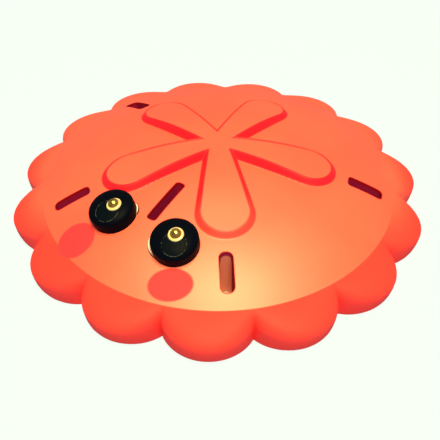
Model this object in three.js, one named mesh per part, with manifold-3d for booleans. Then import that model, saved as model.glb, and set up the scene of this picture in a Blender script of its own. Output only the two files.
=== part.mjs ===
import * as THREE from 'three';
import { mergeVertices } from 'three/addons/utils/BufferGeometryUtils.js';
import Module from 'manifold-3d';

// A toy sand dollar in millimetres, +Z up, lying on its flat underside at z = 0.
// The origin is the centre of the underside, and the face looks toward -Y.

// Shell: a low dome with a scalloped rim.
const lobeCount = 15;
const shellRadius = 50; // centre to the tip of a lobe
const notchRadius = 44.6; // centre to the notch between two lobes
const lobeTurn = 0.3; // degrees from +X to the first notch
const footInset = 1.5; // the underside is this much smaller than the rim
const widestHeight = 4.7; // height at which the rim is widest
const creaseRadius = 42.6; // circle where the dome meets the rim
const creaseHeight = 8;
const creaseAngle = 28.5; // degrees, where the rim's round shoulder stops
const domeTop = 16;
const domeFullness = 0.4; // share of the dome's drop that comes late, near the crease

// Flower: five petals raised on the dome.
const petalCount = 5;
const petalTurn = 18; // degrees from +X to the first petal
const petalReach = 28.5; // centre to the petal's round end
const petalStart = -3.5; // the narrow end runs a little past the centre
const petalWaist = 21; // distance at which the petal is widest
const petalHalfWidth = 6.6;
const petalTaper = 0.5; // how much narrower it gets toward the centre
const petalHeight = 2.2;
const petalRoot = 0.3; // the side walls start this far under the dome
const petalBed = 2; // depth of the petal's hidden lower half

// Slots cut right through the shell.
const slotWidth = 2.6;
const rimSlotStart = 31.4;
const rimSlotEnd = 39.7;
const rimSlotAngles = [18, 162, 234, 306]; // beyond four of the petals
const faceSlotStart = 14.9;
const faceSlotEnd = 26.8;
const faceAngle = -89.2; // degrees, middle of the face

// Eyes: a black button in a socket, a white disc showing beside it, a gold bead on top.
const eyeDistance = 30.7; // centre of the shell to the middle of an eye
const eyeSpread = 15.9; // degrees to each side of the face's middle
const eyeRadius = 5.05;
const eyeSink = 0.3; // the button's base lies this far under the dome
const eyeSideHeight = 1.8; // straight side, from the dome up
const eyeShoulderHeight = 2.9;
const pupilRadius = 2.75; // the smaller dome on top of the button
const pupilHeight = 3.5;
const whiteRadius = 4.6;
const whiteShift = 1; // sideways from the middle of the button
const whiteTop = 0.15;
const whiteBottom = -1.4;
const beadRadius = 1.6;
const beadHeight = 3;
const beadShift = 0.7; // uphill from the middle of the button
const clearance = 0.3; // between pieces that sit in one another
const eyeSides = [
  { side: 'left', turn: -eyeSpread, whiteTurn: 150, beadAside: 1.2 },
  { side: 'right', turn: eyeSpread, whiteTurn: 300, beadAside: 0 },
];

const radians = THREE.MathUtils.degToRad;
const lerp = THREE.MathUtils.lerp;

const wasm = await Module();
wasm.setup();

// A closed geometry as a solid that can be joined and cut.
function toSolid(geometry, matrix = new THREE.Matrix4()) {
  const plain = geometry.clone().applyMatrix4(matrix);
  plain.deleteAttribute('normal');
  plain.deleteAttribute('uv');
  const merged = mergeVertices(plain, 1e-4);
  const corners = merged.index.array;
  const triangles = [];
  for (let i = 0; i < corners.length; i += 3) {
    const [a, b, c] = [corners[i], corners[i + 1], corners[i + 2]];
    if (a !== b && b !== c && c !== a) {
      triangles.push(a, b, c);
    }
  }
  return new wasm.Manifold(new wasm.Mesh({
    numProp: 3,
    vertProperties: new Float32Array(merged.attributes.position.array),
    triVerts: new Uint32Array(triangles),
  }));
}

// A solid back as a geometry to draw.
function toGeometry(solid) {
  const mesh = solid.getMesh();
  const geometry = new THREE.BufferGeometry();
  geometry.setAttribute('position', new THREE.BufferAttribute(new Float32Array(mesh.vertProperties), 3));
  geometry.setIndex(new THREE.BufferAttribute(new Uint32Array(mesh.triVerts), 1));
  geometry.computeVertexNormals();
  return geometry;
}

// Height of the dome at a distance from the centre.
function domeHeight(distance) {
  const share = distance / creaseRadius;
  const drop = (1 - domeFullness) * share ** 2 + domeFullness * share ** 4;
  return domeTop - (domeTop - creaseHeight) * drop;
}

// Downhill slope of the dome, as an angle.
function domeSlope(distance) {
  const share = distance / creaseRadius;
  const rise = 2 * (1 - domeFullness) * share + 4 * domeFullness * share ** 3;
  return Math.atan((rise * (domeTop - creaseHeight)) / creaseRadius);
}

// Outline of the rim: one round arc per lobe, meeting its neighbours in sharp notches.
function lobeRadius(angle) {
  const lobe = (2 * Math.PI) / lobeCount;
  const lobesPast = (angle - radians(lobeTurn)) / lobe;
  const fromTip = (lobesPast - Math.floor(lobesPast) - 0.5) * lobe;
  const notchX = notchRadius * Math.cos(lobe / 2);
  const notchY = notchRadius * Math.sin(lobe / 2);
  const depth = shellRadius - notchX;
  const arc = (depth ** 2 + notchY ** 2) / (2 * depth);
  const middle = shellRadius - arc;
  return middle * Math.cos(fromTip) + Math.sqrt(arc ** 2 - (middle * Math.sin(fromTip)) ** 2);
}

// The shell's section is turned through the lobe tips, then drawn in toward the notches.
function shellGeometry() {
  const footSteps = 3;
  const shoulderSteps = 4;
  const domeSteps = 6;
  const profile = [new THREE.Vector2(0, 0)];
  for (let i = 0; i <= footSteps; i += 1) {
    const turn = (Math.PI / 2) * (1 - i / footSteps);
    const inset = footInset * (1 - Math.cos(turn));
    profile.push(new THREE.Vector2(shellRadius - inset, widestHeight * (1 - Math.sin(turn))));
  }
  const stop = radians(creaseAngle);
  for (let i = 1; i <= shoulderSteps; i += 1) {
    const turn = lerp(Math.PI / 2, stop, i / shoulderSteps);
    const out = (Math.sin(turn) - Math.sin(stop)) / (1 - Math.sin(stop));
    const up = Math.cos(turn) / Math.cos(stop);
    const radius = lerp(creaseRadius, shellRadius, out);
    profile.push(new THREE.Vector2(radius, lerp(widestHeight, creaseHeight, up)));
  }
  for (let i = 1; i <= domeSteps; i += 1) {
    const radius = creaseRadius * (1 - i / domeSteps);
    profile.push(new THREE.Vector2(radius, domeHeight(radius)));
  }
  const geometry = new THREE.LatheGeometry(profile, lobeCount * 8);
  geometry.rotateX(Math.PI / 2);
  geometry.rotateZ(radians(lobeTurn));
  const points = geometry.attributes.position;
  for (let i = 0; i < points.count; i += 1) {
    const radius = Math.hypot(points.getX(i), points.getY(i));
    if (radius > creaseRadius + 0.01) {
      const angle = Math.atan2(points.getY(i), points.getX(i));
      const drawnIn = (lobeRadius(angle) - creaseRadius) / (shellRadius - creaseRadius);
      const scale = (creaseRadius + (radius - creaseRadius) * drawnIn) / radius;
      points.setX(i, points.getX(i) * scale);
      points.setY(i, points.getY(i) * scale);
    }
  }
  return geometry;
}

// A petal is a pebble, pole to pole along its length, bent onto the dome.
function petalGeometry() {
  const geometry = new THREE.SphereGeometry(1, 16, 14);
  const points = geometry.attributes.position;
  for (let i = 0; i < points.count; i += 1) {
    const along = points.getY(i);
    const ring = Math.sqrt(Math.max(0, 1 - along ** 2));
    const across = ring > 1e-6 ? -points.getX(i) / ring : 0;
    const up = ring > 1e-6 ? points.getZ(i) / ring : 0;
    const outer = along > 0;
    const length = outer ? petalReach - petalWaist : petalWaist - petalStart;
    const taper = outer ? ring : (1 + petalTaper * along) * Math.sqrt(ring);
    const top = (petalHeight + petalRoot) * (1 - along ** 4) ** 0.25;
    const lift = up > 0 ? top * Math.sqrt(up) : petalBed * up * ring;
    const x = petalWaist + length * along;
    const y = petalHalfWidth * taper * Math.sign(across) * Math.sqrt(Math.abs(across));
    points.setXYZ(i, x, y, domeHeight(Math.hypot(x, y)) - petalRoot + lift);
  }
  return geometry;
}

// A long slot with round ends, lying along +X and cutting from under the shell to above it.
function slotGeometry(start, end) {
  const round = slotWidth / 2;
  const outline = new THREE.Shape();
  outline.absarc(end - round, 0, round, -Math.PI / 2, Math.PI / 2);
  outline.absarc(start + round, 0, round, Math.PI / 2, (3 * Math.PI) / 2);
  const geometry = new THREE.ExtrudeGeometry(outline, { depth: 30, bevelEnabled: false, curveSegments: 6 });
  geometry.translate(0, 0, -5);
  return geometry;
}

// A round upright plug between two heights, used for sockets and discs.
function plugGeometry(radius, bottom, top, segments = 28) {
  const geometry = new THREE.CylinderGeometry(radius, radius, top - bottom, segments);
  geometry.rotateX(Math.PI / 2);
  geometry.translate(0, 0, (bottom + top) / 2);
  return geometry;
}

// The black button: straight side, round shoulder, and a smaller dome on top.
function eyeGeometry() {
  const shoulderSteps = 3;
  const pupilSteps = 4;
  const profile = [new THREE.Vector2(0, -eyeSink), new THREE.Vector2(eyeRadius, -eyeSink)];
  for (let i = 0; i <= shoulderSteps; i += 1) {
    const turn = (Math.PI / 2) * (i / shoulderSteps);
    const radius = lerp(pupilRadius, eyeRadius, Math.cos(turn));
    profile.push(new THREE.Vector2(radius, lerp(eyeSideHeight, eyeShoulderHeight, Math.sin(turn))));
  }
  for (let i = 1; i <= pupilSteps; i += 1) {
    const turn = (Math.PI / 2) * (i / pupilSteps);
    const radius = i < pupilSteps ? pupilRadius * Math.cos(turn) : 0;
    profile.push(new THREE.Vector2(radius, lerp(eyeShoulderHeight, pupilHeight, Math.sin(turn))));
  }
  const geometry = new THREE.LatheGeometry(profile, 28);
  geometry.rotateX(Math.PI / 2);
  return geometry;
}

// Each eye stands square on the dome: its own +X points downhill and its +Z out of the shell.
function eyeFrame(turn) {
  const angle = radians(faceAngle + turn);
  const frame = new THREE.Group();
  frame.position.set(
    eyeDistance * Math.cos(angle),
    eyeDistance * Math.sin(angle),
    domeHeight(eyeDistance),
  );
  frame.rotation.set(0, domeSlope(eyeDistance), angle, 'ZYX');
  frame.updateMatrix();
  return frame;
}

function turnedAbout(degrees) {
  return new THREE.Matrix4().makeRotationZ(radians(degrees));
}

const finishes = {
  shell: new THREE.MeshStandardMaterial({ color: 0xff7d50, roughness: 0.5, metalness: 0 }),
  eye: new THREE.MeshStandardMaterial({ color: 0x0b1016, roughness: 0.2, metalness: 0 }),
  white: new THREE.MeshStandardMaterial({ color: 0xf2dcd2, roughness: 0.4, metalness: 0 }),
  bead: new THREE.MeshStandardMaterial({ color: 0xd8b84c, roughness: 0.2, metalness: 1 }),
};

const sandDollar = new THREE.Group();
let shell = toSolid(shellGeometry());

for (let i = 0; i < petalCount; i += 1) {
  const angle = petalTurn + (360 / petalCount) * i;
  shell = shell.add(toSolid(petalGeometry(), turnedAbout(angle)));
}
for (const angle of rimSlotAngles) {
  shell = shell.subtract(toSolid(slotGeometry(rimSlotStart, rimSlotEnd), turnedAbout(angle)));
}
shell = shell.subtract(toSolid(slotGeometry(faceSlotStart, faceSlotEnd), turnedAbout(faceAngle)));

for (const { side, turn, whiteTurn, beadAside } of eyeSides) {
  const frame = eyeFrame(turn);
  const sideways = turnedAbout(whiteTurn).multiply(new THREE.Matrix4().makeTranslation(whiteShift, 0, 0));
  const socket = plugGeometry(eyeRadius + clearance, -eyeSink - clearance, 4);
  const whiteSocket = plugGeometry(whiteRadius + clearance, whiteBottom - clearance, 4);
  shell = shell.subtract(toSolid(socket, frame.matrix));
  shell = shell.subtract(toSolid(whiteSocket, frame.matrix.clone().multiply(sideways)));

  const whiteDisc = toSolid(plugGeometry(whiteRadius, whiteBottom, whiteTop), sideways);
  const whiteMesh = new THREE.Mesh(toGeometry(whiteDisc.subtract(toSolid(socket))), finishes.white);
  whiteMesh.name = `eye_white_${side}`;
  frame.add(whiteMesh);

  const dimple = new THREE.SphereGeometry(beadRadius + clearance, 16, 10);
  dimple.translate(-beadShift, beadAside, beadHeight);
  const button = toSolid(eyeGeometry()).subtract(toSolid(dimple));
  const eyeMesh = new THREE.Mesh(toGeometry(button), finishes.eye);
  eyeMesh.name = `eye_${side}`;
  frame.add(eyeMesh);

  const beadMesh = new THREE.Mesh(new THREE.SphereGeometry(beadRadius, 16, 10), finishes.bead);
  beadMesh.name = `bead_${side}`;
  beadMesh.position.set(-beadShift, beadAside, beadHeight);
  frame.add(beadMesh);
  sandDollar.add(frame);
}

const shellMesh = new THREE.Mesh(toGeometry(shell), finishes.shell);
shellMesh.name = 'shell';
sandDollar.add(shellMesh);

export default sandDollar;
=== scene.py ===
import math
import bpy
import bmesh
import numpy as np
from mathutils import Matrix, Vector


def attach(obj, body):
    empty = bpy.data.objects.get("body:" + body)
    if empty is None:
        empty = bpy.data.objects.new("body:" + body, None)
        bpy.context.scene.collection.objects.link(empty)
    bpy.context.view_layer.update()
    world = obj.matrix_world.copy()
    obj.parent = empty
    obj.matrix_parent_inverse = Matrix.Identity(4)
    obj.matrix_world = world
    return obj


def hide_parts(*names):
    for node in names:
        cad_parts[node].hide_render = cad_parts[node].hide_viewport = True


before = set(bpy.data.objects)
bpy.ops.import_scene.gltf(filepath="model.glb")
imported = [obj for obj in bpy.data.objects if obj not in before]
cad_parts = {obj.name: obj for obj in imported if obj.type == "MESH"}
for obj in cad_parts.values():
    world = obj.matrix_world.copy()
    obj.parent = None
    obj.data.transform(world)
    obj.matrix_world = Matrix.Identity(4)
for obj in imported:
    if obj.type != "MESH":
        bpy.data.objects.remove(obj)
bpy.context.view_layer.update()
scene = bpy.context.scene
mm = 0.001  # sizes in the dictionaries are millimetres, unless a note says metres
cleaning = {"weld": 1e-7, "sliver": 2e-6, "thin": 1e-6}  # metres


def meshObject(bm, name):
    mesh = bpy.data.meshes.new(name)
    bm.to_mesh(mesh)
    bm.free()
    piece = bpy.data.objects.new(name, mesh)
    scene.collection.objects.link(piece)
    return piece


def spinProfile(points, steps):  # radius and height pairs turned round the z axis
    bm = bmesh.new()
    verts = [bm.verts.new((r * mm, 0, z * mm)) for r, z in points]
    edges = [bm.edges.new(pair) for pair in zip(verts, verts[1:])]
    bmesh.ops.spin(bm, geom=verts + edges, cent=(0, 0, 0), axis=(0, 0, 1), dvec=(0, 0, 0),
                   angle=2 * math.pi, steps=steps, use_merge=True)
    bmesh.ops.remove_doubles(bm, verts=bm.verts, dist=cleaning["weld"])
    bmesh.ops.recalc_face_normals(bm, faces=bm.faces)
    return bm


def roundTop(radius, base, rise, steps):  # profile of a quarter round, closed on the axis
    turns = [math.pi / 2 * i / steps for i in range(steps)]
    side = [(radius * math.cos(turn), base + rise * math.sin(turn)) for turn in turns]
    return side + [(0, base + rise)]


def closeSlivers(mesh):  # thin leftovers along a cut
    bm = bmesh.new()
    bm.from_mesh(mesh)
    bmesh.ops.remove_doubles(bm, verts=bm.verts, dist=cleaning["sliver"])
    bmesh.ops.dissolve_degenerate(bm, edges=bm.edges, dist=cleaning["thin"])
    bmesh.ops.triangulate(bm, faces=[face for face in bm.faces if len(face.verts) > 4])
    bmesh.ops.dissolve_degenerate(bm, edges=bm.edges, dist=cleaning["thin"])
    bm.to_mesh(mesh)
    bm.free()


def cutAway(piece, cutters):  # one exact cut by all the cutters, which are then gone
    joined = bmesh.new()
    for cutter in cutters:
        joined.from_mesh(cutter.data)
        bpy.data.objects.remove(cutter)
    tool = meshObject(joined, "cutter")
    cut = piece.modifiers.new("cut", "BOOLEAN")
    cut.operation = "DIFFERENCE"
    cut.solver = "EXACT"
    cut.object = tool
    graph = bpy.context.evaluated_depsgraph_get()
    cutMesh = bpy.data.meshes.new_from_object(piece.evaluated_get(graph))
    piece.modifiers.clear()
    piece.data = cutMesh
    bpy.data.objects.remove(tool)
    closeSlivers(cutMesh)


def smoothShade(piece, sharpAngle):
    for face in piece.data.polygons:
        face.use_smooth = True
    piece.data.set_sharp_from_angle(angle=math.radians(sharpAngle))


def vertPlaces(piece):  # x, y and z of every vertex, in millimetres
    flat = np.empty(len(piece.data.vertices) * 3, dtype=np.float32)
    piece.data.vertices.foreach_get("co", flat)
    return flat.reshape(-1, 3).astype(float).T / mm


def paintMask(piece, name, values):  # one value per vertex, read by the finish
    layer = piece.data.attributes.new(name, "FLOAT", "POINT")
    layer.data.foreach_set("value", np.asarray(values, dtype=np.float32))


def place(piece, material, node):
    piece.data.materials.clear()
    piece.data.materials.append(material)
    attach(piece, "root")
    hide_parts(node)


def smoothStep(t):
    return t * t * (3 - 2 * t)


def alongAcross(x, y, angle):  # place measured along and across a line out from the middle
    c, s = math.cos(math.radians(angle)), math.sin(math.radians(angle))
    return x * c + y * s, y * c - x * s


shellSpec = {
    "lobes": 15, "tipRadius": 50.0, "notchRadius": 44.6, "lobeTurn": 0.3,
    "baseRings": (24, 44), "footInset": 1.5, "widestHeight": 4.7,
    "creaseRadius": 42.6, "creaseHeight": 8.0, "creaseAngle": 28.5,
    "faceWay": (0.54, -0.84, 0), "creaseFade": (6, 26),  # crisp towards the face, soft behind
    "domeTop": 16.0, "domeFullness": 0.4, "slopeStep": 0.05,
    "flowerReach": 30.0, "flowerFoot": 8.5, "heartReach": 12.0,
    "spinSteps": 600, "footRings": 6, "shoulderRings": 12, "domeRings": 14,
    "flowerRings": 90, "heartRings": 30,  # closest where the petals are
    "ringGap": 0.02, "sharpAngle": 38,
}


def domeHeight(r):
    s = shellSpec
    t = r / s["creaseRadius"]
    drop = (1 - s["domeFullness"]) * t ** 2 + s["domeFullness"] * t ** 4
    return s["domeTop"] - (s["domeTop"] - s["creaseHeight"]) * drop


def domeSlope(r):
    step = shellSpec["slopeStep"]
    return math.atan((domeHeight(r - step) - domeHeight(r + step)) / (2 * step))


def lobeRadius(angle):  # rim outline: one round arc per lobe, sharp notches between
    s = shellSpec
    lobe = 2 * math.pi / s["lobes"]
    fromTip = ((angle - math.radians(s["lobeTurn"])) / lobe % 1 - 0.5) * lobe
    depth = s["tipRadius"] - s["notchRadius"] * math.cos(lobe / 2)
    arc = (depth ** 2 + (s["notchRadius"] * math.sin(lobe / 2)) ** 2) / (2 * depth)
    middle = s["tipRadius"] - arc
    return middle * np.cos(fromTip) + np.sqrt(arc ** 2 - (middle * np.sin(fromTip)) ** 2)


def shellProfile():  # from the middle of the base, round the rim, to the top of the dome
    s = shellSpec
    points = [(0, 0)] + [(r, 0) for r in s["baseRings"]]
    for i in range(s["footRings"] + 1):
        turn = math.pi / 2 * (1 - i / s["footRings"])
        points.append((s["tipRadius"] - s["footInset"] * (1 - math.cos(turn)),
                       s["widestHeight"] * (1 - math.sin(turn))))
    stop = math.radians(s["creaseAngle"])
    for i in range(1, s["shoulderRings"] + 1):
        turn = math.pi / 2 + (stop - math.pi / 2) * i / s["shoulderRings"]
        out = (math.sin(turn) - math.sin(stop)) / (1 - math.sin(stop))
        up = math.cos(turn) / math.cos(stop)
        points.append((s["creaseRadius"] + (s["tipRadius"] - s["creaseRadius"]) * out,
                       s["widestHeight"] + (s["creaseHeight"] - s["widestHeight"]) * up))
    outer = np.linspace(s["creaseRadius"], s["flowerReach"], s["domeRings"], endpoint=False)[1:]
    flower = np.linspace(s["flowerReach"], s["heartReach"], s["flowerRings"], endpoint=False)
    heart = np.linspace(s["heartReach"], 0, s["heartRings"] + 1)
    rings = np.concatenate([outer, flower, heart])
    return points + [(float(r), float(domeHeight(r))) for r in rings]


petalSpec = {
    "petals": [(18, 1.0), (90, 1.0), (162, 1.0), (234, 1.0), (307, 0.56)],  # angle, strength of the red painted shade at the tip
    "heartRadius": 3.1, "endRadius": 6.5, "endDistance": 21.9,  # small circle inside, large outside
    "heartShift": 0.7, "shiftReach": 12.0,  # the heart sits a little further from the face
    "heartDip": 0.2, "dipReach": 6.0,  # and a touch lower
    "rise": 1.8, "tipRise": 1.15, "tipReach": (12.0, 27.0),  # the petals run out lower
    "wallRun": 1.25, "topRound": 0.3, "webbing": 0.5,
    "redFrom": -0.2, "redFade": 0.35,  # the red of painted shade on the petal's side, inwards from its outline
    "redTo": 1.15, "redToBehind": 1.8, "redBehind": 0.68,  # broader and fainter behind
    "redTipReach": (17.0, 26.0), "farTipFrom": 0.75, "farTipLoss": 0.7,  # dies away on far ends
    "gapStep": 0.05, "offFlower": -9,
}


def petalGap(x, y, angle):  # distance to one teardrop outline, negative inside
    p = petalSpec
    along, across = alongAcross(x, y, angle)
    across = np.abs(across)
    lean = (p["heartRadius"] - p["endRadius"]) / p["endDistance"]
    rise = math.sqrt(1 - lean * lean)
    k = along * rise - across * lean
    side = across * rise + along * lean - p["heartRadius"]
    heart = np.hypot(along, across) - p["heartRadius"]
    end = np.hypot(along - p["endDistance"], across) - p["endRadius"]
    return np.where(k < 0, heart, np.where(k > rise * p["endDistance"], end, side))


def nearHeart(x, y, reach):  # 1 in the middle of the flower, fading outwards
    return np.exp(-(x * x + y * y) / reach ** 2)


def flowerGap(x, y):  # all five petals, run together softly in the corners
    p, way = petalSpec, shellSpec["faceWay"]
    shift = p["heartShift"] * nearHeart(x, y, p["shiftReach"])
    x, y = x + way[0] * shift, y + way[1] * shift
    gaps = np.sort([petalGap(x, y, angle) for angle, red in p["petals"]], axis=0)
    blend = np.maximum(p["webbing"] - (gaps[1] - gaps[0]), 0) / p["webbing"]
    return gaps[0] - blend ** 2 * p["webbing"] / 4


def tipShare(x, y, start, end):  # 0 by the heart, 1 at the petals' ends
    return smoothStep(np.clip((np.hypot(x, y) - start) / (end - start), 0, 1))


def petalRise(x, y):
    p = petalSpec
    t = np.clip(-flowerGap(x, y) / p["wallRun"], 0, 1)
    wall = smoothStep(t) * (1 - p["topRound"]) + (1 - (1 - t) ** 2) * p["topRound"]
    height = p["rise"] + (p["tipRise"] - p["rise"]) * tipShare(x, y, *p["tipReach"])
    return (height - p["heartDip"] * nearHeart(x, y, p["dipReach"])) * wall


def petalInwards(x, y, z):  # distance in from the petals' outline, far outside off the flower
    s = shellSpec
    onFlower = (z > s["creaseHeight"]) & (np.hypot(x, y) < s["flowerReach"])
    return np.where(onFlower, -flowerGap(x, y), petalSpec["offFlower"])


def edgeBehind(x, y):  # 1 on the petals' edges away from the face
    step = petalSpec["gapStep"]
    dx, dy = (way * step for way in shellSpec["faceWay"][:2])
    outwards = flowerGap(x + dx, y + dy) - flowerGap(x - dx, y - dy)
    return np.clip(-outwards / (2 * step), 0, 1)


def petalShadeTop(x, y):  # distance in from where the red painted shade stops
    p = petalSpec
    return -flowerGap(x, y) - p["redTo"] - (p["redToBehind"] - p["redTo"]) * edgeBehind(x, y)


def petalShadeStrength(x, y):  # how strong the red painted shade is
    p = petalSpec
    angles, tipReds = zip(*p["petals"])
    nearest = np.argmin([petalGap(x, y, angle) for angle in angles], axis=0)
    tip, behind = tipShare(x, y, *p["redTipReach"]), edgeBehind(x, y)
    farTip = np.clip((behind - p["farTipFrom"]) / (1 - p["farTipFrom"]), 0, 1) * tip
    alongPetal = 1 + (np.array(tipReds)[nearest] - 1) * tip
    return alongPetal * (1 + (p["redBehind"] - 1) * behind) * (1 - p["farTipLoss"] * farTip)


slotSpec = {
    "edgeWidth": 0.7, "edgeDepth": 0.4,  # painted shade on the sides of a slot that pales soon with painted light
    "cutHeight": 40, "cutMiddle": 10, "cornerSteps": 6, "wallGap": 0.02,
    "slots": [  # inner end, outer end, angle, width, inner and outer corners, how soon it pales with painted light
        (31.5, 39.7, 18.1, 3.0, 0.5, 1.2, 1.0),
        (30.9, 38.9, 163.4, 3.5, 0.8, 1.3, 1.0),
        (31.6, 39.8, 234.2, 2.7, 0.9, 1.1, 1.0),
        (31.25, 39.45, 305.9, 2.85, 1.2, 1.3, 4.0),
        (15.2, 26.8, 270.6, 2.25, 0.9, 0.5, 1.0),
    ],
}


def slotCutter(start, end, angle, width, innerCorner, outerCorner, pales):
    s = slotSpec
    bm = bmesh.new()
    bmesh.ops.create_cube(bm, size=1)
    size = ((end - start) * mm, width * mm, s["cutHeight"] * mm)
    bmesh.ops.scale(bm, verts=bm.verts, vec=size)
    for side, corner in ((-1, innerCorner), (1, outerCorner)):  # upright edges are rounded
        upright = [e for e in bm.edges if e.verts[0].co.x * side > 0
                   and e.verts[0].co.z * e.verts[1].co.z < 0]
        bmesh.ops.bevel(bm, geom=upright, offset=corner * mm, offset_type="OFFSET",
                        affect="EDGES", segments=s["cornerSteps"], profile=0.5, material=-1)
    middle = ((start + end) / 2 * mm, 0, s["cutMiddle"] * mm)
    bmesh.ops.translate(bm, verts=bm.verts, vec=middle)
    turn = Matrix.Rotation(math.radians(angle), 3, "Z")
    bmesh.ops.rotate(bm, verts=bm.verts, cent=(0, 0, 0), matrix=turn)
    bmesh.ops.recalc_face_normals(bm, faces=bm.faces)
    return meshObject(bm, "slotCutter")


def slotDepth(x, y, z):  # depth below the dome on the slots' walls, times how soon a slot pales with painted light
    s = slotSpec
    depth = np.zeros(len(x))
    below = np.maximum(domeHeight(np.hypot(x, y)) - z, 0)
    for start, end, angle, width, innerCorner, outerCorner, pales in s["slots"]:
        along, across = alongAcross(x, y, angle)
        fromSide = width / 2 - np.abs(across)
        inside = (along > start - s["wallGap"]) & (along < end + s["wallGap"])
        inside &= fromSide > -s["wallGap"]
        middle = np.clip(fromSide / s["edgeWidth"], 0, 1)
        paled = np.maximum(below * pales * middle, np.minimum(below, s["edgeDepth"]))
        depth = np.where(inside, below if pales == 1 else paled, depth)
    return depth


eyeSpec = {
    "radius": 5.05, "sink": 0.3, "sideHeight": 2.1, "topHeight": 3.85, "socketGap": 0.08,
    "footRound": 0.12, "sideRing": 0.9, "domeSteps": 32, "spinSteps": 96, "sharpAngle": 30,
    "plugSides": 72, "plugTop": 4,
    "eyes": {  # place on the dome, white disc, bead and pupil as downhill and sideways
        "left": {"distance": 30.15, "angle": -105.0,
                 "whiteTurn": 147, "whiteShift": 2.85, "whiteRadius": 2.6,
                 "bead": (-0.6, 1.2), "pupil": (1.4, 1.15)},
        "right": {"distance": 30.57, "angle": -73.4,
                  "whiteTurn": 273, "whiteShift": 1.95, "whiteRadius": 4.0,
                  "bead": (-0.3, 0.49), "pupil": (1.8, 0.7)},
    },
}
discSpec = {
    "top": 0.2, "bottom": -1.4, "cutGap": 0.02, "spinSteps": 96, "edgeShade": 0.1,
    "edge": [(0, 0.15), (0.05, 0.04), (0.16, 0), (0.3, 0)],  # in from the side, down from the top
}
beadSpec = {
    "ballRadius": 1.22, "ballLift": 0.13, "ballSteps": 19,
    "collarRadius": 1.33, "collarTube": 0.31, "collarSweep": (-90, 110), "collarSteps": 18,
    "seatGap": 0.04, "seatTop": 3, "spinSteps": 64, "sharpAngle": 50, "maskGap": 0.02,
}


def eyeMatrix(eye):  # x downhill, z out of the dome
    angle = math.radians(eye["angle"])
    r = eye["distance"]
    spot = Vector((r * math.cos(angle), r * math.sin(angle), domeHeight(r)))
    turn = Matrix.Rotation(angle, 4, "Z") @ Matrix.Rotation(domeSlope(r), 4, "Y")
    return Matrix.Translation(spot * mm) @ turn


def whiteMatrix(eye):
    turn = Matrix.Rotation(math.radians(eye["whiteTurn"]), 4, "Z")
    return turn @ Matrix.Translation((eye["whiteShift"] * mm, 0, 0))


def onButton(x, y):  # a point of the button's round top, measured from its base
    e = eyeSpec
    up = math.sqrt(1 - (x * x + y * y) / e["radius"] ** 2)
    z = e["sideHeight"] + (e["topHeight"] - e["sideHeight"]) * up
    return Vector((x * mm, y * mm, z * mm))


def plugCutter(radius, bottom, top, matrix):
    bm = bmesh.new()
    bmesh.ops.create_cone(bm, cap_ends=True, segments=eyeSpec["plugSides"], radius1=radius * mm,
                          radius2=radius * mm, depth=(top - bottom) * mm)
    bmesh.ops.translate(bm, verts=bm.verts, vec=(0, 0, (top + bottom) / 2 * mm))
    bmesh.ops.transform(bm, matrix=matrix, verts=bm.verts)
    return meshObject(bm, "plugCutter")


def shapeShell(shell):  # the rim is drawn in between the lobes, and the flower raised
    s = shellSpec
    x, y, z = vertPlaces(shell)
    r = np.maximum(np.hypot(x, y), s["ringGap"])
    rim = s["tipRadius"] - s["creaseRadius"]
    share = (lobeRadius(np.arctan2(y, x)) - s["creaseRadius"]) / rim
    drawnIn = (s["creaseRadius"] + (r - s["creaseRadius"]) * share) / r
    grow = np.where(r > s["creaseRadius"] + s["ringGap"], drawnIn, 1)
    onFlower = (z > s["flowerFoot"]) & (r < s["flowerReach"])
    z = z + np.where(onFlower, petalRise(x, y), 0)
    places = np.stack([x * grow, y * grow, z]).T * mm
    shell.data.vertices.foreach_set("co", places.astype(np.float32).ravel())
    shell.data.update()


def cutShell(shell):  # slots right through, sockets for the buttons and the white discs
    e = eyeSpec
    cutters, whiteCutters = [slotCutter(*slot) for slot in slotSpec["slots"]], []
    for eye in e["eyes"].values():
        cutters.append(plugCutter(e["radius"] + e["socketGap"], -e["sink"], e["plugTop"],
                                  eyeMatrix(eye)))
        whiteCutters.append(plugCutter(eye["whiteRadius"] + e["socketGap"], discSpec["bottom"],
                                       e["plugTop"], eyeMatrix(eye) @ whiteMatrix(eye)))
    cutAway(shell, cutters)
    cutAway(shell, whiteCutters)


def sharpenCrease(shell, x, y):
    s = shellSpec
    onCrease = np.abs(np.hypot(x, y) - s["creaseRadius"]) < s["ringGap"]
    onCrease &= x * s["faceWay"][0] + y * s["faceWay"][1] > s["creaseFade"][0]
    for edge in shell.data.edges:
        if onCrease[edge.vertices[0]] and onCrease[edge.vertices[1]]:
            edge.use_edge_sharp = True


def makeShell():
    s = shellSpec
    bm = spinProfile(shellProfile(), s["spinSteps"])
    turn = Matrix.Rotation(math.radians(s["lobeTurn"]), 3, "Z")
    bmesh.ops.rotate(bm, verts=bm.verts, cent=(0, 0, 0), matrix=turn)
    shell = meshObject(bm, "shellVinyl")
    shapeShell(shell)
    cutShell(shell)
    smoothShade(shell, s["sharpAngle"])
    x, y, z = vertPlaces(shell)
    sharpenCrease(shell, x, y)
    paintMask(shell, "petalInwards", petalInwards(x, y, z))
    paintMask(shell, "petalShadeTop", petalShadeTop(x, y))
    paintMask(shell, "petalShadeStrength", petalShadeStrength(x, y))
    paintMask(shell, "slotDepth", slotDepth(x, y, z))
    return shell


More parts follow.
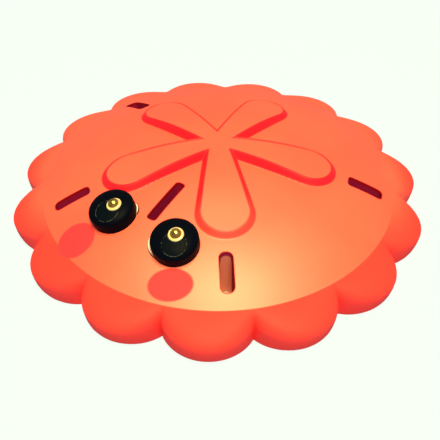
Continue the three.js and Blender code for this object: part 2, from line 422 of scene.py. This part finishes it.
def makeButton(name, eye):  # upright side, then one low round dome
    e, b = eyeSpec, beadSpec
    r, bottom = e["radius"], -e["sink"]
    points = [(0, bottom), (r - e["footRound"], bottom), (r, e["footRound"] + bottom)]
    points += [(r, e["sideRing"])]
    points += roundTop(r, e["sideHeight"], e["topHeight"] - e["sideHeight"], e["domeSteps"])
    button = meshObject(spinProfile(points, e["spinSteps"]), "eyeButton." + name)
    seat = plugCutter(b["collarRadius"] + b["collarTube"] + b["seatGap"], -b["collarTube"],
                      b["seatTop"], Matrix.Translation(onButton(*eye["bead"])))
    cutAway(button, [seat])
    button.data.transform(eyeMatrix(eye))
    smoothShade(button, e["sharpAngle"])
    return button


def makeWhite(name, eye):
    d, e, r = discSpec, eyeSpec, eye["whiteRadius"]
    profile = [(0, d["bottom"]), (r, d["bottom"])]
    profile += [(r - inset, d["top"] - drop) for inset, drop in d["edge"]] + [(0, d["top"])]
    disc = meshObject(spinProfile(profile, d["spinSteps"]), "eyeWhite." + name)
    x, y, z = vertPlaces(disc)
    # a dark ring of painted shade round the disc's side, where it meets the button
    paintMask(disc, "edge", np.hypot(x, y) > r - d["edgeShade"])
    disc.data.transform(whiteMatrix(eye))
    button = plugCutter(e["radius"] + d["cutGap"], -e["sink"], e["plugTop"], Matrix.Identity(4))
    cutAway(disc, [button])
    disc.data.transform(eyeMatrix(eye))
    smoothShade(disc, e["sharpAngle"])
    return disc


def makeBead(name, eye):  # a gold ball held in a pale collar
    b = beadSpec
    tube, (first, last) = b["collarTube"], b["collarSweep"]
    profile = [(0, -tube)]
    for i in range(b["collarSteps"] + 1):
        turn = math.radians(first + (last - first) * i / b["collarSteps"])
        profile.append((b["collarRadius"] + tube * math.cos(turn), tube * math.sin(turn)))
    profile += roundTop(b["ballRadius"], b["ballLift"], b["ballRadius"], b["ballSteps"])[1:]
    bead = meshObject(spinProfile(profile, b["spinSteps"]), "goldBead." + name)
    x, y, z = vertPlaces(bead)
    paintMask(bead, "collar", np.hypot(x, y) > b["ballRadius"] - b["maskGap"])
    bead.data.transform(eyeMatrix(eye) @ Matrix.Translation(onButton(*eye["bead"])))
    smoothShade(bead, b["sharpAngle"])
    return bead


def newFinish(name):  # material, its tree and its shader's sockets
    material = bpy.data.materials.new(name)
    material.use_nodes = True
    tree = material.node_tree
    return material, tree, tree.nodes["Principled BSDF"].inputs


def feed(tree, value, socket):  # by a link, or as a plain value on the socket
    if isinstance(value, bpy.types.NodeSocket):
        tree.links.new(value, socket)
    else:
        socket.default_value = value


def mixSockets(tree, kind, factor, first, second):
    mix = tree.nodes.new("ShaderNodeMix")
    mix.data_type = kind
    start, result = (6, 2) if kind == "RGBA" else (2, 0)  # where each kind has its sockets
    for index, value in ((0, factor), (start, first), (start + 1, second)):
        feed(tree, value, mix.inputs[index])
    return mix.outputs[result]


def mixColour(tree, factor, first, second):
    return mixSockets(tree, "RGBA", factor, first, second)


def mixValue(tree, factor, first, second):
    return mixSockets(tree, "FLOAT", factor, first, second)


def multiply(tree, first, second):
    node = tree.nodes.new("ShaderNodeMath")
    node.operation = "MULTIPLY"
    tree.links.new(first, node.inputs[0])
    tree.links.new(second, node.inputs[1])
    return node.outputs[0]


def mapValue(tree, value, fromMin, fromMax, toMin=0.0, toMax=1.0):
    node = tree.nodes.new("ShaderNodeMapRange")
    node.interpolation_type = "SMOOTHSTEP"
    ends = {"From Min": fromMin, "From Max": fromMax, "To Min": toMin, "To Max": toMax}
    for label, number in ends.items():
        node.inputs[label].default_value = number
    tree.links.new(value, node.inputs["Value"])
    return node.outputs["Result"]


def mapLength(tree, value, reach):  # the same for a length, with its ends in millimetres
    return mapValue(tree, value, reach[0] * mm, reach[1] * mm)


def vectorStep(tree, operation, vector, constant=None):
    node = tree.nodes.new("ShaderNodeVectorMath")
    node.operation = operation
    tree.links.new(vector, node.inputs[0])
    if constant is not None:
        node.inputs[1].default_value = constant
    return node.outputs["Value" if operation in ("LENGTH", "DOT_PRODUCT") else "Vector"]


def objectPlace(tree):
    return tree.nodes.new("ShaderNodeTexCoord").outputs["Object"]


def spotPlace(tree, vector, x, y, turn, size):  # place as seen from a turned and scaled spot
    spot = tree.nodes.new("ShaderNodeMapping")
    spot.vector_type = "TEXTURE"
    spot.inputs["Location"].default_value = (x * mm, y * mm, 0)
    spot.inputs["Rotation"].default_value = (0, 0, math.radians(turn))
    spot.inputs["Scale"].default_value = size
    tree.links.new(vector, spot.inputs["Vector"])
    return spot.outputs["Vector"]


def attributeValue(tree, name):
    node = tree.nodes.new("ShaderNodeAttribute")
    node.attribute_name = name
    return node.outputs["Fac"]


grainSpec = {
    "detail": {"Mottle": 3, "Grain": 2}, "height": 0.2,
    "toneRange": (0.35, 0.65), "roughRange": (0.3, 0.7),  # of the mottle, for colour and for gloss
}


def mouldedGrain():  # soft mottling and fine moulded grain, shared by all the finishes
    group = bpy.data.node_groups.new("mouldedGrain", "ShaderNodeTree")
    for label in grainSpec["detail"]:
        for name, way in ((label + " Scale", "INPUT"), (label, "OUTPUT")):
            group.interface.new_socket(name, in_out=way, socket_type="NodeSocketFloat")
    start, end = group.nodes.new("NodeGroupInput"), group.nodes.new("NodeGroupOutput")
    place3d = objectPlace(group)
    for label, detail in grainSpec["detail"].items():
        noise = group.nodes.new("ShaderNodeTexNoise")
        noise.inputs["Detail"].default_value = detail
        group.links.new(start.outputs[label + " Scale"], noise.inputs["Scale"])
        group.links.new(place3d, noise.inputs["Vector"])
        group.links.new(noise.outputs["Fac"], end.inputs[label])
    return group


def addGrain(tree, shader, group, finish):  # bump and roughness; the mottle is for the colour
    grain = tree.nodes.new("ShaderNodeGroup")
    grain.node_tree = group
    grain.inputs["Mottle Scale"].default_value = finish["mottleScale"]
    grain.inputs["Grain Scale"].default_value = finish["grainScale"]
    bump = tree.nodes.new("ShaderNodeBump")
    bump.inputs["Strength"].default_value = finish["bump"]
    bump.inputs["Distance"].default_value = grainSpec["height"] * mm
    tree.links.new(grain.outputs["Grain"], bump.inputs["Height"])
    tree.links.new(bump.outputs["Normal"], shader["Normal"])
    mottle = grain.outputs["Mottle"]
    rough = mapValue(tree, mottle, *grainSpec["roughRange"], *finish["rough"])
    tree.links.new(rough, shader["Roughness"])
    return mottle


def mottledColour(tree, mottle, first, second):
    return mixColour(tree, mapValue(tree, mottle, *grainSpec["toneRange"]), first, second)


vinylSpec = {
    "orange": (0.95, 0.093, 0.054, 1), "paleOrange": (1.0, 0.107, 0.062, 1),
    "mottleScale": 55, "grainScale": 1400, "bump": 0.1, "rough": (0.5, 0.6), "specular": 0.15,
    "glossRough": 0.5, "glossStrength": 1.9,  # a clear gloss on the dome alone
    # painted shade on the rim: deeper red on the face's side, darker towards the bottom
    "rim": (0.98, 0.052, 0.05, 1), "rimShadeLow": (0.98, 0.034, 0.032, 1), "rimShadeLowReach": (6.0, 1.5),
    "rimShadeFade": (-34, 4),  # the painted shade on the rim fades away behind the flower
    "rimEdge": (42.45, 42.75), "rimSoftEdge": (42.0, 49.5),  # and its edge softens at the sides
    # red painted shade on the petals' sides
    "petalSideShade": (0.98, 0.0135, 0.037, 1),
    "blush": (0.97, 0.044, 0.067, 1), "blushFade": (1.06, 0.92),  # as shares of the half sizes
    "blushSpots": [  # place, half sizes, turn
        (-11.98, -37.45, 4.25, 4.1, 30), (12.55, -36.56, 4.65, 3.2, 31),
    ],
    # painted shade in the slots, dark at the edge then plum; painted light deep down, where light
    # comes through the slot
    "slotEdgeShade": (0.4, 0.004, 0.015, 1), "slotWallShade": (0.38, 0.011, 0.1, 1),
    "slotDeepLight": (1.0, 0.33, 0.31, 1), "slotLine": 0.32,  # a dark line of painted shade along each slot's edge
    "slotStages": {"slotEdgeShade": (0.02, 0.12), "slotWallShade": (0.5, 1.1), "slotDeepLight": (3.4, 6.0)},
}


def paintOver(tree, mask, surface, paint):  # colour over the vinyl, and the gloss goes
    colour, gloss = surface
    return mixColour(tree, mask, colour, paint), mixValue(tree, mask, gloss, 0.0)


def paintRimShade(tree, place3d, flat, colour):  # painted shade round the rim, deepest on the face's side and towards the bottom
    v = vinylSpec
    radius = vectorStep(tree, "LENGTH", flat)
    height = tree.nodes.new("ShaderNodeSeparateXYZ")
    tree.links.new(place3d, height.inputs[0])
    towardsFace = vectorStep(tree, "DOT_PRODUCT", flat, shellSpec["faceWay"])
    faceSide = mapLength(tree, towardsFace, v["rimShadeFade"])
    crisp = mapLength(tree, towardsFace, shellSpec["creaseFade"])
    onRim = mixValue(tree, crisp, mapLength(tree, radius, v["rimSoftEdge"]),
                     mapLength(tree, radius, v["rimEdge"]))
    # darker towards the bottom of the rim: painted shade
    low = mapLength(tree, height.outputs["Z"], v["rimShadeLowReach"])
    rimShadeColour = mixColour(tree, faceSide, colour, mixColour(tree, low, v["rim"], v["rimShadeLow"]))
    gloss = mixValue(tree, onRim, 1.0, mixValue(tree, faceSide, 1.0, 0.0))
    return mixColour(tree, onRim, colour, rimShadeColour), gloss


def paintPetalShade(tree, surface):  # red painted shade along the petals' sides
    p = petalSpec
    inwards = attributeValue(tree, "petalInwards")
    side = mapValue(tree, inwards, p["redFrom"], p["redFrom"] + p["redFade"])
    side = mixValue(tree, side, 0.0, attributeValue(tree, "petalShadeStrength"))
    onTop = mapValue(tree, attributeValue(tree, "petalShadeTop"), 0.0, p["redFade"])
    side = mixValue(tree, onTop, side, 0.0)
    return paintOver(tree, side, surface, vinylSpec["petalSideShade"])


def paintSlotShadeLines(tree, flat, surface):
    v = vinylSpec
    for start, end, angle, width, innerCorner, outerCorner, pales in slotSpec["slots"]:
        middle, corner = (start + end) / 2, (innerCorner + outerCorner) / 2
        way = math.radians(angle)
        spot = spotPlace(tree, flat, middle * math.cos(way), middle * math.sin(way), angle,
                         (mm, mm, 1))
        beyond = vectorStep(tree, "SUBTRACT", vectorStep(tree, "ABSOLUTE", spot),
                            ((end - start) / 2 - corner, width / 2 - corner, 0))
        reach = vectorStep(tree, "LENGTH", vectorStep(tree, "MAXIMUM", beyond, (0, 0, 0)))
        # a dark line of painted shade round each slot's mouth
        line = mapValue(tree, reach, corner + v["slotLine"], corner)
        surface = paintOver(tree, line, surface, v["slotEdgeShade"])
    return surface


def paintBlush(tree, flat, surface):
    v = vinylSpec
    for x, y, halfLength, halfWidth, turn in v["blushSpots"]:
        spot = spotPlace(tree, flat, x, y, turn, (halfLength * mm, halfWidth * mm, 1))
        oval = mapValue(tree, vectorStep(tree, "LENGTH", spot), *v["blushFade"])
        surface = paintOver(tree, oval, surface, v["blush"])
    return surface


def paintSlotLightAndShade(tree, surface):  # painted shade, dark at the edge, then plum; pale painted light deep down
    depth = attributeValue(tree, "slotDepth")
    for paint, reach in vinylSpec["slotStages"].items():
        surface = paintOver(tree, mapValue(tree, depth, *reach), surface, vinylSpec[paint])
    return surface


def shellFinish(group):
    v = vinylSpec
    material, tree, shader = newFinish("orangeVinyl")
    mottle = addGrain(tree, shader, group, v)
    place3d = objectPlace(tree)
    flat = vectorStep(tree, "MULTIPLY", place3d, (1, 1, 0))  # the place without its height
    orange = mottledColour(tree, mottle, v["orange"], v["paleOrange"])
    surface = paintRimShade(tree, place3d, flat, orange)
    surface = paintPetalShade(tree, surface)
    surface = paintSlotShadeLines(tree, flat, surface)
    surface = paintBlush(tree, flat, surface)
    colour, gloss = paintSlotLightAndShade(tree, surface)
    tree.links.new(colour, shader["Base Color"])
    tree.links.new(gloss, shader["Coat Weight"])
    shader["Coat Roughness"].default_value = v["glossRough"]
    shader["Coat IOR"].default_value = v["glossStrength"]
    shader["Specular IOR Level"].default_value = v["specular"]
    return material


buttonSpec = {
    "black": (0.0012, 0.0026, 0.008, 1), "pupil": (0.0016, 0.0044, 0.009, 1), "pupilRadius": 2.55,
    # the pale broken line round each pupil is a painted highlight
    "line": (0.09, 0.1, 0.09, 1), "highlightWidth": 0.16, "highlightBreaks": (0.42, 0.56),
    "mottleScale": 1500, "grainScale": 2500, "bump": 0.03, "rough": (0.38, 0.46), "specular": 0.02,
}


def buttonFinish(group):  # each eye has a faint pupil with a broken fine line of painted highlight round it
    b = buttonSpec
    material, tree, shader = newFinish("blackButton")
    mottle = addGrain(tree, shader, group, b)
    place3d = objectPlace(tree)
    breaks = mapValue(tree, mottle, *b["highlightBreaks"])
    edge, half = b["pupilRadius"] * mm, b["highlightWidth"] / 2 * mm
    colour = b["black"]
    for eye in eyeSpec["eyes"].values():
        middle = eyeMatrix(eye) @ onButton(*eye["pupil"])
        reach = vectorStep(tree, "LENGTH", vectorStep(tree, "SUBTRACT", place3d, middle))
        inside = mapValue(tree, reach, edge, edge - half)
        colour = mixColour(tree, inside, colour, b["pupil"])
        # a painted highlight along the pupil's edge
        line = multiply(tree, mapValue(tree, reach, edge + half, edge),
                        mapValue(tree, reach, edge - half, edge))
        colour = mixColour(tree, multiply(tree, line, breaks), colour, b["line"])
    tree.links.new(colour, shader["Base Color"])
    shader["Specular IOR Level"].default_value = b["specular"]
    return material


whiteSpec = {
    "low": (0.72, 0.6, 0.58, 1), "high": (0.84, 0.74, 0.72, 1), "edge": (0.02, 0.006, 0.006, 1),
    "mottleScale": 400, "grainScale": 2200, "bump": 0.05, "rough": (0.45, 0.55),
}


def whiteFinish(group):
    w = whiteSpec
    material, tree, shader = newFinish("eyeWhite")
    mottle = addGrain(tree, shader, group, w)
    colour = mottledColour(tree, mottle, w["low"], w["high"])
    # the dark edge is painted shade
    colour = mixColour(tree, attributeValue(tree, "edge"), colour, w["edge"])
    tree.links.new(colour, shader["Base Color"])
    return material


goldSpec = {
    "deep": (0.72, 0.46, 0.07, 1), "bright": (0.92, 0.7, 0.2, 1), "collar": (0.86, 0.78, 0.42, 1),
    "metal": (1.0, 0.25),  # of the ball and of the collar
    "mottleScale": 1100, "grainScale": 3000, "bump": 0.08, "rough": (0.14, 0.3),
}


def goldFinish(group):
    g = goldSpec
    material, tree, shader = newFinish("paleGold")
    mottle = addGrain(tree, shader, group, g)
    collar = attributeValue(tree, "collar")
    colour = mottledColour(tree, mottle, g["deep"], g["bright"])
    tree.links.new(mixColour(tree, collar, colour, g["collar"]), shader["Base Color"])
    tree.links.new(mapValue(tree, collar, 0, 1, *g["metal"]), shader["Metallic"])
    return material


grainGroup = mouldedGrain()
vinyl, black = shellFinish(grainGroup), buttonFinish(grainGroup)
white, gold = whiteFinish(grainGroup), goldFinish(grainGroup)
print("finishes ready")

place(makeShell(), vinyl, "shell")
print("shell built")
for side, eye in eyeSpec["eyes"].items():
    place(makeButton(side, eye), black, "eye_" + side)
    place(makeWhite(side, eye), white, "eye_white_" + side)
    place(makeBead(side, eye), gold, "bead_" + side)
print("eyes built")


floorSpec = {
    "halfSize": 2.0,  # metres
    "paint": (0.032, 0.036, 0.034, 1), "glow": (0.885, 0.955, 0.885, 1), "rough": 0.9,
    "underPaint": (0.5, 0.5, 0.48, 1), "shadeUnderGlow": (0, 0, 0, 1),
    "shadeUnderReach": (37, 46),  # the floor glows, except under the shell, which leaves painted shade there
}


def buildFloor():
    f = floorSpec
    bm = bmesh.new()
    bmesh.ops.create_grid(bm, x_segments=1, y_segments=1, size=f["halfSize"])
    floor = meshObject(bm, "floor")
    floor.visible_glossy = False
    material, tree, shader = newFinish("paleFloor")
    clear = mapLength(tree, vectorStep(tree, "LENGTH", objectPlace(tree)), f["shadeUnderReach"])
    tree.links.new(mixColour(tree, clear, f["underPaint"], f["paint"]), shader["Base Color"])
    # no glow under the shell: painted shade
    tree.links.new(mixColour(tree, clear, f["shadeUnderGlow"], f["glow"]), shader["Emission Color"])
    shader["Emission Strength"].default_value = 1.0
    shader["Roughness"].default_value = f["rough"]
    shader["Specular IOR Level"].default_value = 0.0
    floor.data.materials.append(material)


backdropSpec = {"radius": 1.9, "height": 3.0, "sides": 96, "glow": (0.89, 0.96, 0.89, 1)}  # metres


def buildBackdrop():  # a pale wall all round, seen by the camera alone
    b = backdropSpec
    bm = bmesh.new()
    bmesh.ops.create_cone(bm, cap_ends=False, segments=b["sides"], radius1=b["radius"],
                          radius2=b["radius"], depth=b["height"])
    backdrop = meshObject(bm, "backdrop")
    backdrop.visible_glossy = False
    backdrop.visible_diffuse = False
    backdrop.visible_shadow = False
    material, tree, shader = newFinish("paleWall")
    shader["Base Color"].default_value = (0, 0, 0, 1)
    shader["Specular IOR Level"].default_value = 0.0
    shader["Emission Color"].default_value = b["glow"]
    shader["Emission Strength"].default_value = 1.0
    backdrop.data.materials.append(material)


lightSpec = {
    "world": (1.0, 1.0, 1.0, 1), "worldStrength": 0.2,
    "lampPlace": (0.1, -0.11, 0.55), "lampAim": (0.02, -0.03, 0.0), "lampSize": (0.2, 0.4),  # metres
    "lampPower": 6.0, "lampTint": (1.0, 0.8, 0.33),
}


def buildLight():
    s = lightSpec
    scene.world = bpy.data.worlds.new("studioWorld")
    scene.world.use_nodes = True
    background = scene.world.node_tree.nodes["Background"]
    background.inputs[0].default_value = s["world"]
    background.inputs[1].default_value = s["worldStrength"]
    lamp = bpy.data.lights.new("softLamp", "AREA")
    lamp.shape = "ELLIPSE"
    lamp.size, lamp.size_y = s["lampSize"]
    lamp.energy = s["lampPower"]
    lamp.color = s["lampTint"]
    softbox = bpy.data.objects.new("softLamp", lamp)
    softbox.location = s["lampPlace"]
    way = Vector(s["lampAim"]) - Vector(s["lampPlace"])
    softbox.rotation_euler = way.to_track_quat("-Z", "Y").to_euler()
    scene.collection.objects.link(softbox)
    scene.view_settings.view_transform = "Standard"


cameraSpec = {
    "azimuth": 32.81, "elevation": 43.2, "distance": 130.24, "target": (7.28, -10.36, 3.99),
    "roll": 0.17, "lens": 44.806, "sensor": 36, "clipStart": 5,
}


def buildCamera():
    c = cameraSpec
    az, el, roll = (math.radians(c[k]) for k in ("azimuth", "elevation", "roll"))
    back = Vector((math.sin(az) * math.cos(el), -math.cos(az) * math.cos(el), math.sin(el)))
    flatRight = Vector((math.cos(az), math.sin(az), 0))
    flatUp = back.cross(flatRight)
    right = flatRight * math.cos(roll) + flatUp * math.sin(roll)
    up = back.cross(right)
    turn = Matrix((right, up, back)).transposed().to_4x4()
    spot = (Vector(c["target"]) + back * c["distance"]) * mm
    lens = bpy.data.cameras.new("photoCamera")
    lens.lens = c["lens"]
    lens.sensor_width = c["sensor"]
    lens.clip_start = c["clipStart"] * mm
    camera = bpy.data.objects.new("photoCamera", lens)
    camera.matrix_world = Matrix.Translation(spot) @ turn
    scene.collection.objects.link(camera)
    scene.camera = camera


buildFloor()
buildBackdrop()
buildLight()
buildCamera()
print("studio and camera ready")
